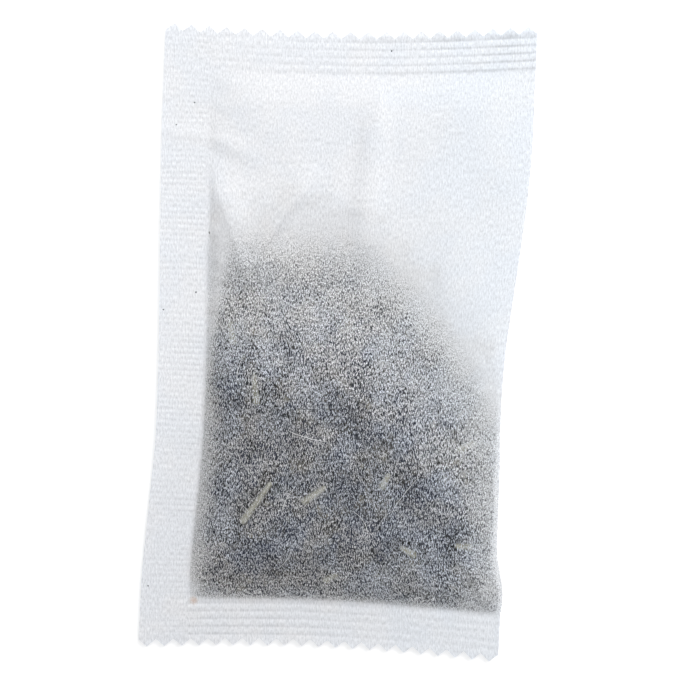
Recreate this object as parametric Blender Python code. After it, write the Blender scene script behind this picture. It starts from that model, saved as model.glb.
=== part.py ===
"""A heat-sealed tea bag that lies flat on its back.

One sheet of filter paper is folded along its right side. The layers are fused by a ribbed seal
down the left side and across both pinked ends, and the pocket holds broken leaf and some stalks.
Metres, +Z up, +Y towards the top seal, +X towards the fold.

A place on the flat bag is (u, v): u from the side seal's edge to the fold, v up from the lower
tips of the pinking. place() draws that flat shape in where the filling swells it, and underside(),
opening() and seal_ribs() give its heights. The filling takes its size and place from the same
functions.
"""

import math
import random

import bmesh
import bpy
from mathutils import Matrix, Vector, noise
from mathutils.geometry import delaunay_2d_cdt

# The folded sheet, flat, and how far its top and its fold run out of square
BAG_WIDTH = 0.0500
BAG_LENGTH = 0.0860
PAPER = 0.00007
TOP_SKEW = 0.0017
FOLD_SLANT = 0.0006

# The seals
SIDE_SEAL = 0.0064
BOTTOM_SEAL = 0.0063
TOP_SEAL = 0.0061
SIDE_RIB_PITCH = 0.00077
END_RIB_PITCH = 0.00105
RIB_DEPTH = 0.00012
RIB_RUNOUT = 0.0004

# The pinked ends
TOOTH_PITCH = 0.00238
TOOTH_DEPTH = 0.0010
TOOTH_LAND = 0.00015

# The hair channel that the seals leave in the crook of the fold
CREEP_WIDTH = 0.0003
CREEP_GAP = 0.0001

# The filling
TEA_LEVEL = 0.0570
TEA_FALL = 0.0230
TEA_FALL_START = 0.0250
TEA_FALL_CURVE = 1.5
TEA_THICKNESS = 0.0060
TEA_CROWN = 0.22
TEA_EDGE = 0.0003
TEA_INSET = 0.0016
TEA_FOLD_INSET = 0.0010
TEA_CORNER = 0.0040
FLAKE_SIZE = 0.0020
FLAKE_SPACING = 0.15
FLAKE_RELIEF = 0.0004
CLEARANCE = 0.0003

# How far in from each border the pocket swells to its full height
SIDE_SHOULDER = 0.0085
BOTTOM_SHOULDER = 0.0100
FOLD_SHOULDER = 0.0105
LEVEL_SHOULDER = 0.0230
FOLD_SPREAD = 0.0013

# How far the swelling draws the borders in
FOLD_DRAW = 0.0026
FOLD_DRAW_AT_END = 0.0011
SIDE_DRAW = 0.0011
BOTTOM_BOW = 0.0010
TOP_BOW = 0.0010

# How far the borders stand off the table, and how wide the underside curves up to them
SEAL_LIFT = 0.0012
TOP_LIFT = 0.0005
UNDER_FLARE = 0.0075
FOLD_FLARE = 0.6

# Puckers in the front: the two ends (u, v), the height and the half width
PUCKER_ENDS = 0.35
PUCKERS = (
    ((0.0062, 0.0670), (0.0116, 0.0566), 0.0010, 0.0026),
    ((0.0205, 0.0650), (0.0136, 0.0560), 0.0009, 0.0026),
    ((0.0292, 0.0790), (0.0280, 0.0570), 0.0006, 0.0030),
    ((0.0078, 0.0570), (0.0076, 0.0440), 0.0007, 0.0024),
    ((0.0470, 0.0150), (0.0490, 0.0075), 0.0006, 0.0020),
)
SLACK_WAVE = 0.0005
SLACK_WAVE_SIZE = 0.0100

# Stalks that lie under the front: how far across and up the filling the middle is, as shares of
# its width and of its height there, then the turn in degrees and the length
STALKS = (
    (0.181, 0.260, 57, 0.0068),
    (0.381, 0.288, 35, 0.0040),
    (0.055, 0.724, 101, 0.0032),
    (0.148, 0.570, 98, 0.0042),
    (0.629, 0.368, 62, 0.0024),
    (0.723, 0.169, 150, 0.0026),
    (0.450, 0.046, 32, 0.0024),
    (0.921, 0.242, 174, 0.0026),
    (0.918, 0.660, 22, 0.0030),
)
STALK_RADIUS = 0.00055
STALK_TAPER = 0.60
STALK_SIDES = 6

# How finely the pocket is modelled
FRONT_CELLS = (24, 40)
BACK_CELLS = (16, 28)
SEAL_CELLS = 9
CORNER_STEPS = 5
STALK_STEPS = 6
SEED = 7

PAPER_LOOK = ((0.90, 0.91, 0.92, 1), 0.85)
TEA_LOOK = ((0.075, 0.070, 0.060, 1), 0.90)
STALK_LOOK = ((0.42, 0.40, 0.26, 1), 0.75)

FOLD_INSIDE = BAG_WIDTH - PAPER
CREEP_EDGE = FOLD_INSIDE - CREEP_WIDTH
POCKET_FOOT = BOTTOM_SEAL
POCKET_HEAD = BAG_LENGTH - TOP_SEAL
TEA_LEFT = SIDE_SEAL + TEA_INSET
TEA_RIGHT = BAG_WIDTH - TEA_FOLD_INSET
TEA_FOOT = POCKET_FOOT + TEA_INSET
SAME = 1e-9


def ease(value):
    """A smooth step from 0 to 1."""
    t = min(max(value, 0.0), 1.0)
    return t * t * (3 - 2 * t)


def swell(distance, shoulder):
    """The rounded rise from a border, from 0 at the border to 1 past the shoulder."""
    return math.sin(math.pi / 2 * min(max(distance / shoulder, 0.0), 1.0))


def spread(start, end, count):
    """Evenly spaced values, both ends included."""
    return [start + (end - start) * i / count for i in range(count + 1)]


def zigzag(value):
    """A wave of straight flanks, -1 at whole numbers and 1 halfway between them."""
    return 1 - 4 * abs(value % 1 - 0.5)


def tea_line(u):
    """How far up the bag the filling reaches, level at the seal side and falling to the fold."""
    run = max(u - TEA_FALL_START, 0.0) / (BAG_WIDTH - TEA_FALL_START)
    return TEA_LEVEL - TEA_FALL * run**TEA_FALL_CURVE


def tea_depth(u, v):
    """The thickness that the filling gives the pocket."""
    sides = swell(u - SIDE_SEAL, SIDE_SHOULDER) * swell(BAG_WIDTH - u, FOLD_SHOULDER)
    ends = swell(v - POCKET_FOOT, BOTTOM_SHOULDER) * ease((tea_line(u) - v) / LEVEL_SHOULDER)
    across = 2 * (u - SIDE_SEAL) / (BAG_WIDTH - SIDE_SEAL) - 1
    up = 2 * (v - POCKET_FOOT) / (TEA_LEVEL - POCKET_FOOT) - 1
    crown = 1 - TEA_CROWN * min(across**2 + up**2, 2.0)
    return TEA_THICKNESS * crown * sides * ends


def pucker(u, v):
    """The height of the puckers in the front."""
    total = 0.0
    for start, end, height, half_width in PUCKERS:
        along = Vector(end) - Vector(start)
        offset = Vector((u, v)) - Vector(start)
        t = min(max(offset.dot(along) / along.length_squared, 0.0), 1.0)
        side = (offset - along * t).length / half_width
        crest = PUCKER_ENDS + (1 - PUCKER_ENDS) * math.sin(math.pi * t)
        total += height * max(0.0, 1 - side) * crest
    return total


def opening(u, v):
    """The gap between the two layers, 0 along the seals."""
    creep = CREEP_GAP * min(max((u - CREEP_EDGE) / CREEP_WIDTH, 0.0), 1.0)
    if not POCKET_FOOT < v < POCKET_HEAD or u <= SIDE_SEAL:
        return creep
    seals = swell(u - SIDE_SEAL, SIDE_SHOULDER) * swell(v - POCKET_FOOT, BOTTOM_SHOULDER)
    seals *= swell(POCKET_HEAD - v, BOTTOM_SHOULDER)
    slack = 2 * CLEARANCE + TEA_EDGE
    wave = SLACK_WAVE * noise.noise(Vector((u, v, 0)) / SLACK_WAVE_SIZE)
    near_fold = swell(BAG_WIDTH - u, FOLD_SHOULDER)
    fold = FOLD_SPREAD * ease((tea_line(u) + LEVEL_SHOULDER / 2 - v) / LEVEL_SHOULDER)
    edge = swell(v - POCKET_FOOT, BOTTOM_SHOULDER / 2) * swell(u - SIDE_SEAL, SIDE_SHOULDER / 2)
    edge *= swell(POCKET_HEAD - v, BOTTOM_SHOULDER / 2)
    loose = (slack * near_fold + fold * (1 - near_fold)) * edge
    return max(creep, tea_depth(u, v) + loose + seals * near_fold * (wave + pucker(u, v)))


def underside(u, v):
    """How high the outer underside lies, 0 where the filling presses it on the table."""
    side = 1 - ease((u - SIDE_SEAL) / UNDER_FLARE)
    foot = 1 - ease((v - POCKET_FOOT) / UNDER_FLARE)
    fold = 1 - ease((BAG_WIDTH - u) / UNDER_FLARE)
    flare = 1 - (1 - side) * (1 - foot) * (1 - FOLD_FLARE * fold)
    past_tea = ease((v - tea_line(u) + UNDER_FLARE) / (BAG_LENGTH - TEA_LEVEL))
    lift = SEAL_LIFT + (TOP_LIFT - SEAL_LIFT) * past_tea
    return lift * flare + TOP_LIFT * past_tea * (1 - flare)


def rests_flat(u, v, reach):
    """Whether the underside lies on the table here and that far to each side."""
    sides = ((u - reach, v), (u + reach, v), (u, v - reach), (u, v + reach))
    return all(underside(*side) <= SAME for side in sides)


def end_rows(seal):
    """The crests and hollows of an end seal's ribs, measured in from the tips of its teeth."""
    step = END_RIB_PITCH / 2
    room = seal - RIB_RUNOUT - TOOTH_DEPTH - TOOTH_LAND
    return [seal - RIB_RUNOUT - step * i for i in range(int(room / step) + 1)]


def side_rows():
    """The crests and hollows of the side seal's ribs, up the bag."""
    step = SIDE_RIB_PITCH / 2
    start = TOOTH_DEPTH + TOOTH_LAND
    count = int((BAG_LENGTH - 2 * start) / step)
    first = (BAG_LENGTH - count * step) / 2
    return [first + step * i for i in range(count + 1)]


def seal_ribs(u, v):
    """The height that the sealing jaws' ribs give both layers together."""
    if u < SIDE_SEAL - RIB_RUNOUT / 2:
        return RIB_DEPTH / 2 * zigzag((v - side_rows()[0]) / SIDE_RIB_PITCH)
    if u < SIDE_SEAL + RIB_RUNOUT / 2:
        return 0.0
    for seal, depth in ((BOTTOM_SEAL, v), (TOP_SEAL, BAG_LENGTH - v)):
        rows = end_rows(seal)
        if rows[-1] - SAME <= depth <= rows[0] + SAME:
            return RIB_DEPTH / 2 * zigzag((rows[0] - depth) / END_RIB_PITCH)
    return 0.0


def teeth(u):
    """How far the pinking is cut back from the tips."""
    count = max(1, round(BAG_WIDTH / TOOTH_PITCH))
    return TOOTH_DEPTH * (0.5 - 0.5 * zigzag(u / BAG_WIDTH * count))


def place(u, v):
    """Where a flat place of the bag lies on the table, x and y."""
    high = ease((v - TEA_LEVEL / 2) / (BAG_LENGTH - TEA_LEVEL * 0.75))
    low = 1 - ease((v - POCKET_FOOT) / BOTTOM_SHOULDER)
    fold = FOLD_DRAW - (FOLD_DRAW + FOLD_SLANT) * high + (FOLD_DRAW_AT_END - FOLD_DRAW) * low
    middle = (TEA_LEVEL + POCKET_FOOT) / 2
    reach = middle - POCKET_FOOT if v < middle else POCKET_HEAD - middle
    side = SIDE_DRAW * (1 - ease(abs(v - middle) / reach))
    shrink = (BAG_WIDTH - SIDE_SEAL - fold - side) / (BAG_WIDTH - SIDE_SEAL)
    x = side - BAG_WIDTH / 2 + min(u, SIDE_SEAL) + max(u - SIDE_SEAL, 0) * shrink
    head = ease((v - POCKET_HEAD + BOTTOM_SHOULDER) / BOTTOM_SHOULDER)
    bow = (BOTTOM_BOW * low - TOP_BOW * head) * math.sin(math.pi * u / BAG_WIDTH)
    skew = TOP_SKEW * (u / BAG_WIDTH - 0.5) * v / BAG_LENGTH
    return x, v - BAG_LENGTH / 2 + bow + skew


class Cut:
    """A flat shape: its places, the lines that its facets keep to, and its facets."""

    def __init__(self):
        self.places = []
        self.lines = set()
        self.known = {}

    def point(self, u, v):
        key = round(u, 8), round(v, 8)
        if key not in self.known:
            self.known[key] = len(self.places)
            self.places.append((u, v))
        return self.known[key]

    def line(self, places):
        marks = [self.point(u, v) for u, v in places]
        self.lines.update((a, b) for a, b in zip(marks, marks[1:]) if a != b)
        return marks

    def facets(self):
        """The triangles inside the outline, anticlockwise seen from above."""
        points = [Vector(place_) for place_ in self.places]
        made = delaunay_2d_cdt(points, sorted(self.lines), [], 1, SAME)
        names = [sources[0] for sources in made[3]]
        return [[names[i] for i in face] for face in made[2]]


def end_edge(top):
    """The pinked edge of one end, from the side seal to the fold."""
    count = 2 * max(1, round(BAG_WIDTH / TOOTH_PITCH))
    marks = spread(0, BAG_WIDTH, count)
    marks = [u for u in marks if abs(u - BAG_WIDTH) < SAME or u < CREEP_EDGE - CREEP_WIDTH]
    marks = sorted(marks + [CREEP_EDGE, FOLD_INSIDE])
    return [(u, BAG_LENGTH - teeth(u) if top else teeth(u)) for u in marks]


def bag_outline(rows):
    """The flat bag's outline, anticlockwise from the lower corner of the side seal."""
    fold = [(BAG_WIDTH, v) for v in rows]
    side = [(0.0, v) for v in reversed(side_rows())]
    loop = end_edge(False) + fold + end_edge(True)[::-1] + side
    return loop + loop[:1]


def bag_cut(cells):
    """The flat bag with its seal ribs, its pocket line and a pocket of that many cells."""
    low_ribs = sorted(end_rows(BOTTOM_SEAL))
    high_ribs = [BAG_LENGTH - depth for depth in end_rows(TOP_SEAL)]
    chain = spread(POCKET_FOOT, POCKET_HEAD, FRONT_CELLS[1])
    cut = Cut()
    cut.outline = cut.line(bag_outline(low_ribs + chain + high_ribs))

    inner = SIDE_SEAL - RIB_RUNOUT
    for v in side_rows():
        cut.line([(0.0, v), (inner, v)])
    seal_columns = spread(SIDE_SEAL + RIB_RUNOUT, CREEP_EDGE, SEAL_CELLS)
    for v in low_ribs + high_ribs:
        cut.line([(u, v) for u in seal_columns + [FOLD_INSIDE, BAG_WIDTH]])

    columns = spread(SIDE_SEAL, CREEP_EDGE, FRONT_CELLS[0])
    foot = [(FOLD_INSIDE, teeth(FOLD_INSIDE))] + [(FOLD_INSIDE, v) for v in low_ribs]
    head = [(FOLD_INSIDE, v) for v in high_ribs]
    head += [(FOLD_INSIDE, BAG_LENGTH - teeth(FOLD_INSIDE))]
    cut.crook = cut.line(foot + [(FOLD_INSIDE, v) for v in chain] + head)
    for v in (POCKET_FOOT, POCKET_HEAD):
        cut.line([(u, v) for u in columns])
    cut.line([(SIDE_SEAL, v) for v in chain])
    low_creep = [teeth(CREEP_EDGE)] + low_ribs + [POCKET_FOOT]
    high_creep = [POCKET_HEAD] + high_ribs + [BAG_LENGTH - teeth(CREEP_EDGE)]
    cut.line([(CREEP_EDGE, v) for v in low_creep])
    cut.line([(CREEP_EDGE, v) for v in high_creep])

    step = (POCKET_HEAD - POCKET_FOOT) / cells[1]
    for u in spread(SIDE_SEAL, FOLD_INSIDE, cells[0])[1:-1]:
        for v in spread(POCKET_FOOT, POCKET_HEAD, cells[1])[1:-1]:
            if cells is FRONT_CELLS or not rests_flat(u, v, step):
                cut.point(u, v)
    return cut


def in_pocket(cut, facet):
    """Whether a facet lies over the pocket or over the hair channel beside the fold."""
    u = sum(cut.places[i][0] for i in facet) / 3
    v = sum(cut.places[i][1] for i in facet) / 3
    in_creep = CREEP_EDGE < u < FOLD_INSIDE
    return in_creep or (SIDE_SEAL < u < FOLD_INSIDE and POCKET_FOOT < v < POCKET_HEAD)


class Sheet:
    """The folded sheet's mesh. Each flat place can have a vertex on several levels."""

    def __init__(self):
        self.mesh = bmesh.new()
        self.made = {}

    def vertex(self, spot, level):
        """under and upper are the outer faces, floor and roof the pocket's, bend the fold."""
        u, v = spot
        gap = opening(min(u, FOLD_INSIDE), v)
        if level in ("floor", "roof") and gap <= SAME:
            level = "line"
        key = round(u, 8), round(v, 8), level
        if key not in self.made:
            x, y = place(u, v)
            low = underside(u, v) + seal_ribs(u, v)
            heights = {
                "under": low,
                "floor": low + PAPER,
                "line": low + PAPER,
                "bend": low + PAPER + gap / 2,
                "roof": low + PAPER + gap,
                "upper": low + 2 * PAPER + gap,
            }
            if level == "bend":
                x += PAPER + gap / 2
            self.made[key] = self.mesh.verts.new((x, y, heights[level]))
        return self.made[key]

    def face(self, corners):
        corners = [self.vertex(spot, level) for spot, level in corners]
        self.mesh.faces.new(list(dict.fromkeys(corners)))

    def inner_levels(self, spot):
        """The levels between the outer faces at a place on the outline, from the lowest."""
        if abs(spot[0] - BAG_WIDTH) < SAME:
            return ["bend"]
        if CREEP_EDGE - SAME <= spot[0] <= FOLD_INSIDE + SAME:
            return ["floor", "roof"]
        return []

    def rim(self, here, there):
        """The cut edge of the sheet between two places on the outline."""
        here_inner, there_inner = self.inner_levels(here), self.inner_levels(there)
        if here_inner and here_inner == there_inner:
            middle = here_inner[0], here_inner[-1]
            self.face([(here, "under"), (there, "under"), (there, middle[0]), (here, middle[0])])
            self.face([(here, middle[1]), (there, middle[1]), (there, "upper"), (here, "upper")])
            return
        rise = [(there, level) for level in ["under"] + there_inner + ["upper"]]
        drop = [(here, level) for level in ["upper"] + here_inner[::-1] + ["under"]]
        self.face(rise + drop)


def fused_corners(cut):
    """The facets in the pocket's corners whose places all lie on the pocket line."""
    facets = [[cut.places[i] for i in facet] for facet in cut.facets() if in_pocket(cut, facet)]
    return {frozenset(spots) for spots in facets if max(opening(*spot) for spot in spots) <= SAME}


def filter_paper_pouch():
    """The whole sheet: both layers, the cut edge all round and the crook of the fold inside."""
    front, back = bag_cut(FRONT_CELLS), bag_cut(BACK_CELLS)
    fused = fused_corners(front) & fused_corners(back)
    sheet = Sheet()
    for cut, outer, inner, turn in ((front, "upper", "roof", 1), (back, "under", "floor", -1)):
        for facet in cut.facets():
            corners = [cut.places[i] for i in facet][::turn]
            sheet.face([(spot, outer) for spot in corners])
            if in_pocket(cut, facet) and frozenset(corners) not in fused:
                sheet.face([(spot, inner) for spot in corners[::-1]])
    outline = [front.places[i] for i in front.outline]
    for here, there in zip(outline, outline[1:]):
        sheet.rim(here, there)
    crook = [front.places[i] for i in front.crook]
    for low, high in zip(crook, crook[1:]):
        sheet.face([(low, "floor"), (low, "roof"), (high, "roof"), (high, "floor")])
    return sheet.mesh


def tea_outline():
    """The filling's outline on the flat bag, anticlockwise."""
    loop = []
    for centre, start in ((TEA_LEFT + TEA_CORNER, 180), (TEA_RIGHT - TEA_CORNER, 270)):
        for turn in spread(start, start + 90, CORNER_STEPS):
            angle = math.radians(turn)
            v = TEA_FOOT + TEA_CORNER * (1 + math.sin(angle))
            loop.append((centre + TEA_CORNER * math.cos(angle), v))
    columns = spread(TEA_RIGHT, TEA_LEFT, round((TEA_RIGHT - TEA_LEFT) / FLAKE_SIZE))
    level = [(u, tea_line(u)) for u in columns]
    shoulder = TEA_FOOT + TEA_CORNER
    for u, start, end in ((TEA_RIGHT, shoulder, level[0][1]), (TEA_LEFT, level[-1][1], shoulder)):
        flakes = max(1, round(abs(end - start) / FLAKE_SIZE))
        loop += [(u, v) for v in spread(start, end, flakes)[1:-1]]
        loop += level if u == TEA_RIGHT else []
    return loop


def in_outline(u, v, loop):
    """Whether a place lies inside a loop of places."""
    inside = False
    for (u0, v0), (u1, v1) in zip(loop, loop[1:] + loop[:1]):
        if (v0 > v) != (v1 > v) and u < u0 + (v - v0) * (u1 - u0) / (v1 - v0):
            inside = not inside
    return inside


def tea_fill_mesh():
    """The mass of broken leaf, faceted on top and smooth where it lies on the paper."""
    rng = random.Random(SEED)
    loop = tea_outline()
    cut = Cut()
    cut.line(loop + loop[:1])
    columns, rows = round(BAG_WIDTH / FLAKE_SIZE), round(TEA_LEVEL / FLAKE_SIZE)
    for row in range(rows):
        for column in range(columns):
            u = (column + rng.uniform(FLAKE_SPACING, 1 - FLAKE_SPACING)) * FLAKE_SIZE
            v = (row + rng.uniform(FLAKE_SPACING, 1 - FLAKE_SPACING)) * FLAKE_SIZE
            away = min(math.dist((u, v), spot) for spot in loop)
            if away > FLAKE_SIZE / 2 and in_outline(u, v, loop):
                cut.point(u, v)

    mesh = bmesh.new()
    tops = [mesh.verts.new((u, v, 1)) for u, v in cut.places]
    feet = [mesh.verts.new((u, v, 0)) for u, v in cut.places]
    for facet in cut.facets():
        mesh.faces.new([tops[i] for i in facet])
        mesh.faces.new([feet[i] for i in reversed(facet)])
    for here, there in zip(range(len(loop)), list(range(1, len(loop))) + [0]):
        mesh.faces.new([feet[here], feet[there], tops[there], tops[here]])

    for (u, v), top, foot in zip(cut.places, tops, feet):
        floor = underside(u, v) + PAPER + CLEARANCE
        depth = opening(u, v) - 2 * CLEARANCE
        relief = min(FLAKE_RELIEF, (depth - TEA_EDGE / 2) / 2) * rng.random()
        x, y = place(u, v)
        top.co = x, y, floor + depth - max(relief, 0)
        foot.co = x, y, floor
    bmesh.ops.dissolve_limit(mesh, angle_limit=1e-5, verts=mesh.verts, edges=mesh.edges)
    return mesh


def stalk_pose(across, up, turn, length):
    """The two ends of a stalk that lies close under the front."""
    u = TEA_LEFT + across * (TEA_RIGHT - TEA_LEFT)
    middle = Vector((u, TEA_FOOT + up * (tea_line(u) - TEA_FOOT)))
    step = Vector((math.cos(math.radians(turn)), math.sin(math.radians(turn)))) * length / 2
    spots = [middle + step * t for t in spread(-1, 1, STALK_STEPS)]
    roofs = [underside(u, v) + PAPER + opening(u, v) for u, v in spots]
    ends = [Vector((*place(*spots[i]), roofs[i])) for i in (0, -1)]
    chord = spread(roofs[0], roofs[-1], len(roofs) - 1)
    sag = max(0.0, max(line - roof for line, roof in zip(chord, roofs)))
    drop = Vector((0, 0, sag + STALK_RADIUS + 2 * CLEARANCE))
    return ends[0] - drop, ends[1] - drop


def along(start, end):
    """The turn and place that lay a shape modelled along Z from start to end."""
    turn = (end - start).to_track_quat("Z", "X").to_matrix().to_4x4()
    return Matrix.Translation((start + end) / 2) @ turn


def stalk_mesh(start, end):
    """A broken stalk: a tapered stick with chamfered ends."""
    mesh = bmesh.new()
    length = (end - start).length
    bmesh.ops.create_cone(
        mesh, cap_ends=True, segments=STALK_SIDES, depth=length,
        radius1=STALK_RADIUS, radius2=STALK_RADIUS * STALK_TAPER,
    )
    rims = [e for e in mesh.edges if abs(e.verts[0].co.z - e.verts[1].co.z) < SAME]
    bmesh.ops.bevel(
        mesh, geom=rims, offset=STALK_RADIUS / 3, segments=1, affect="EDGES", profile=0.5
    )
    mesh.transform(along(start, end))
    return mesh


def bed_mesh(start, end):
    """The hollow that a stalk lies in, open towards the front of the bag."""
    mesh = bmesh.new()
    bmesh.ops.create_cube(mesh, size=1)
    half = STALK_RADIUS + CLEARANCE
    length = (end - start).length + 2 * CLEARANCE
    for vert in mesh.verts:
        top = vert.co.z > 0
        vert.co.x *= length
        vert.co.y *= 2 * half
        vert.co.z = TEA_THICKNESS if top else -half
    run = end - start
    level = math.atan2(run.z, math.hypot(run.x, run.y))
    heading = math.atan2(run.y, run.x)
    turn = Matrix.Rotation(heading, 4, "Z") @ Matrix.Rotation(-level, 4, "Y")
    mesh.transform(Matrix.Translation((start + end) / 2) @ turn)
    return mesh


def material(name, look):
    """A plain finish from a colour and a roughness."""
    colour, roughness = look
    made = bpy.data.materials.new(name)
    made.use_nodes = True
    shader = made.node_tree.nodes["Principled BSDF"]
    shader.inputs["Base Color"].default_value = colour
    shader.inputs["Roughness"].default_value = roughness
    shader.inputs["Metallic"].default_value = 0.0
    made.diffuse_color = colour
    return made


def add_object(name, mesh, finish=None):
    """An object from a finished mesh."""
    data = bpy.data.meshes.new(name)
    mesh.to_mesh(data)
    mesh.free()
    made = bpy.data.objects.new(name, data)
    bpy.context.scene.collection.objects.link(made)
    if finish:
        data.materials.append(finish)
    return made


def main():
    for old in list(bpy.data.objects):
        bpy.data.objects.remove(old, do_unlink=True)

    add_object("filter_paper_pouch", filter_paper_pouch(), material("filter_paper", PAPER_LOOK))
    tea = add_object("tea_fill", tea_fill_mesh(), material("broken_leaf", TEA_LOOK))
    stalk_finish = material("pale_stalk", STALK_LOOK)
    for number, stalk in enumerate(STALKS, 1):
        start, end = stalk_pose(*stalk)
        add_object(f"tea_stalk_{number}", stalk_mesh(start, end), stalk_finish)
        bed = add_object(f"stalk_bed_{number}", bed_mesh(start, end))
        bed.hide_render = True
        bed.display_type = "WIRE"
        cut = tea.modifiers.new(bed.name, "BOOLEAN")
        cut.operation = "DIFFERENCE"
        cut.solver = "EXACT"
        cut.object = bed


main()
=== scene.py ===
import math
import random

import bmesh
import bpy
from mathutils import Matrix, Vector, noise
from mathutils.geometry import delaunay_2d_cdt


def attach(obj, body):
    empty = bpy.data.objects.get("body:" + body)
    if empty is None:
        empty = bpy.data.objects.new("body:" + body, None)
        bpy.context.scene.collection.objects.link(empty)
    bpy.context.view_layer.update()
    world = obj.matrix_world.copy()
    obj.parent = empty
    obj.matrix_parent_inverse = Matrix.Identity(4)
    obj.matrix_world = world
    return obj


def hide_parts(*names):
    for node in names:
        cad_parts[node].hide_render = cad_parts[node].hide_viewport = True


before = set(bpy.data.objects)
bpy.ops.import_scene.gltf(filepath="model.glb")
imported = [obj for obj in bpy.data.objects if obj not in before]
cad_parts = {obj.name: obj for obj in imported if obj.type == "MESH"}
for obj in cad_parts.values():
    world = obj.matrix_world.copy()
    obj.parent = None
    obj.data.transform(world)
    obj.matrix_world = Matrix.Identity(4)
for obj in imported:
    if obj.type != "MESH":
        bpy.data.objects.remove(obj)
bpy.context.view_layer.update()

MM = 0.001

# The photograph's frame: its scale, the pixel over the middle of the bag and the bag's lean
PHOTO_SIDE = 679
PIXELS_PER_MM = 7.32
BAG_MIDDLE_PIXEL = (335.5, 339.0)
BAG_LEAN = math.radians(2.5)
LENS = 105
SENSOR = 36

# The folded sheet, flat, as the frame has it
BAG_WIDTH = 50 * MM
BAG_LENGTH = 86 * MM
PAPER = 0.07 * MM
TOP_SKEW = 1.7 * MM
FOLD_SLANT = 0.6 * MM
SIDE_SEAL = 6.4 * MM
BOTTOM_SEAL = 6.3 * MM
TOP_SEAL = 6.1 * MM
SIDE_RIB_PITCH = 0.77 * MM
END_RIB_PITCH = 1.05 * MM
RIB_DEPTH = 0.12 * MM
RIB_RUNOUT = 0.4 * MM
TOOTH_PITCH = 2.38 * MM
TOOTH_DEPTH = 1.0 * MM
TOOTH_LAND = 0.15 * MM
CREEP_WIDTH = 0.3 * MM
CREEP_GAP = 0.1 * MM

# The filling and the swelling that it gives the pocket
TEA_LEVEL = 57 * MM
TEA_FALL = 23 * MM
TEA_FALL_START = 25 * MM
TEA_THICKNESS = 6 * MM
TEA_CROWN = 0.22
TEA_EDGE = 0.3 * MM
TEA_INSET = 1.6 * MM
TEA_FOLD_INSET = 1.0 * MM
CLEARANCE = 0.3 * MM
SIDE_SHOULDER = 8.5 * MM
BOTTOM_SHOULDER = 10 * MM
FOLD_SHOULDER = 10.5 * MM
LEVEL_SHOULDER = 23 * MM
FOLD_SPREAD = 1.3 * MM
FOLD_DRAW = 2.6 * MM
FOLD_DRAW_AT_END = 1.1 * MM
SIDE_DRAW = 1.1 * MM
BOTTOM_BOW = 1.0 * MM
TOP_BOW = 1.0 * MM
SEAL_LIFT = 1.2 * MM
TOP_LIFT = 0.5 * MM
UNDER_FLARE = 7.5 * MM
SLACK_WAVE = 0.5 * MM
SLACK_WAVE_SIZE = 10 * MM

# From here up, the slack pocket rises more gently from the side seal
UPPER_FLANK = 50 * MM

# Puckers in the front: the two ends (u, v), the height and the half width, in millimetres
PUCKERS = (
    ((6.2, 67.0), (11.6, 56.6), 0.35, 2.6),
    ((20.5, 65.0), (13.6, 56.0), 0.6, 2.6),
    ((29.2, 79.0), (28.0, 57.0), 0.6, 3.0),
    ((7.8, 57.0), (7.6, 44.0), 0.7, 2.4),
    ((47.0, 15.0), (49.0, 7.5), 0.6, 2.0),
)

# Small gathers along the seals and the dents that the leaf presses into the front
GATHER_HEIGHT = 0.13 * MM
GATHER_PITCH = 3.1 * MM
GATHER_REACH = 4.0 * MM
LEAF_DENT = 0.16 * MM
LEAF_DENT_SIZE = 1.5 * MM

# Sharp creases in the front: their two ends from the middle of the flat bag, the height and the
# width of the side to the left and to the right, going from the first end to the second, in
# millimetres
CREASES = (
    ((-4.6, 21.5), (-11.8, 10.7), 0.55, 1.3, 5.0),
    ((4.1, 36.1), (4.5, 28.1), 0.12, 0.7, 1.2),
    ((4.5, 28.1), (2.6, 11.1), 0.15, 2.4, 4.0),
    ((-19.0, 27.7), (-11.6, 23.7), 0.24, 2.8, 2.0),
    ((15.6, 33.5), (12.6, 29.1), 0.20, 1.6, 2.4),
    ((20.6, -28.3), (23.6, -37.1), 0.50, 1.6, 1.4),
)
# How far a crease runs past its ends and how long it takes to fade, in shares of its length,
# and how much it hollows towards its ridge
CREASE_RUNOUT = 0.2
CREASE_FADE = 0.45
CREASE_HOLLOW = 1.3

# How far the paper stands off the leaf. It rises past the filling, slowly and then fast
HAZE_START = 29.4 * MM
HAZE_RISE = 20 * MM
HAZE_SLOW = 0.45
HAZE_TOP = 48.4 * MM
HAZE_TOP_RISE = 11 * MM

# Along the side seal: the reach and its shares low down and lost higher up, and two fringes,
# each with its strength and its share of the reach. The facet's slant moves them inwards
HAZE_SIDE = 2.6 * MM
HAZE_SIDE_LOW = 1.4
HAZE_SIDE_LOSS = 0.85
HAZE_SIDE_TURN = 30 * MM
HAZE_SIDE_TURN_RISE = 8 * MM
HAZE_SIDE_FRINGES = ((0.58, 1.15), (0.26, 2.6))
HAZE_SLANT = 2.3 * MM
HAZE_SLANT_START = 35.3 * MM

# Along the bottom seal: the near fringe, and the far one, which is wider to the right
HAZE_FOOT = 1.0 * MM
HAZE_FOOT_NEAR = 0.57
HAZE_FOOT_FAR = 0.43
HAZE_FOOT_LEFT = 5
HAZE_FOOT_RIGHT = 7

# Along the fold: the reach, and the strength with its shares low down and lost higher up
HAZE_FOLD = 7 * MM
HAZE_FOLD_SHARE = 0.24
HAZE_FOLD_LOW = 2.2
HAZE_FOLD_LOSS = 1.4
HAZE_FOLD_TURN = 16 * MM
HAZE_FOLD_TURN_RISE = 12 * MM

# The lumps in it, coarse and fine
HAZE_LUMPS = 0.17
HAZE_LUMP_SIZE = 4.5 * MM
HAZE_FINE_LUMP_SIZE = 1.6 * MM

# The length of sheet that the texture's unit stands for
UV_SIZE = 0.1

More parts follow.
